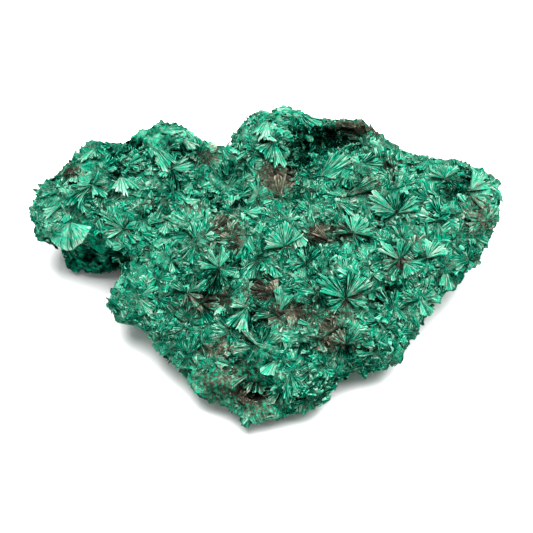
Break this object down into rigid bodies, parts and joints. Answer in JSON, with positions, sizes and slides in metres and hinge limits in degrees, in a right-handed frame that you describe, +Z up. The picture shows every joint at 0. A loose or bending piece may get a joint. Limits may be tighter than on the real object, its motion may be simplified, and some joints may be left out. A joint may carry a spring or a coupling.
{
  "type": "malachite crystal specimen",
  "caption": "Natural slab-like mass of green fibrous malachite: radiating crystal sprays over a lumpy, wedge-shaped body with an open vug, resting on its underside as a display piece.",
  "frame": {"origin": "middle of the bounding box's bottom, on the surface the specimen rests on", "axes": "+Z up; +X towards the rounded right lobe; -Y towards the viewer, where the showy face slopes down"},
  "size_m": [0.0986, 0.0816, 0.0278],
  "materials": {
    "malachite": "silky fibrous crystal, with dark gaps and brown matrix patches"
  },
  "bodies": {
    "root": {"malachite_mass": "malachite"}
  },
  "joints": []
}
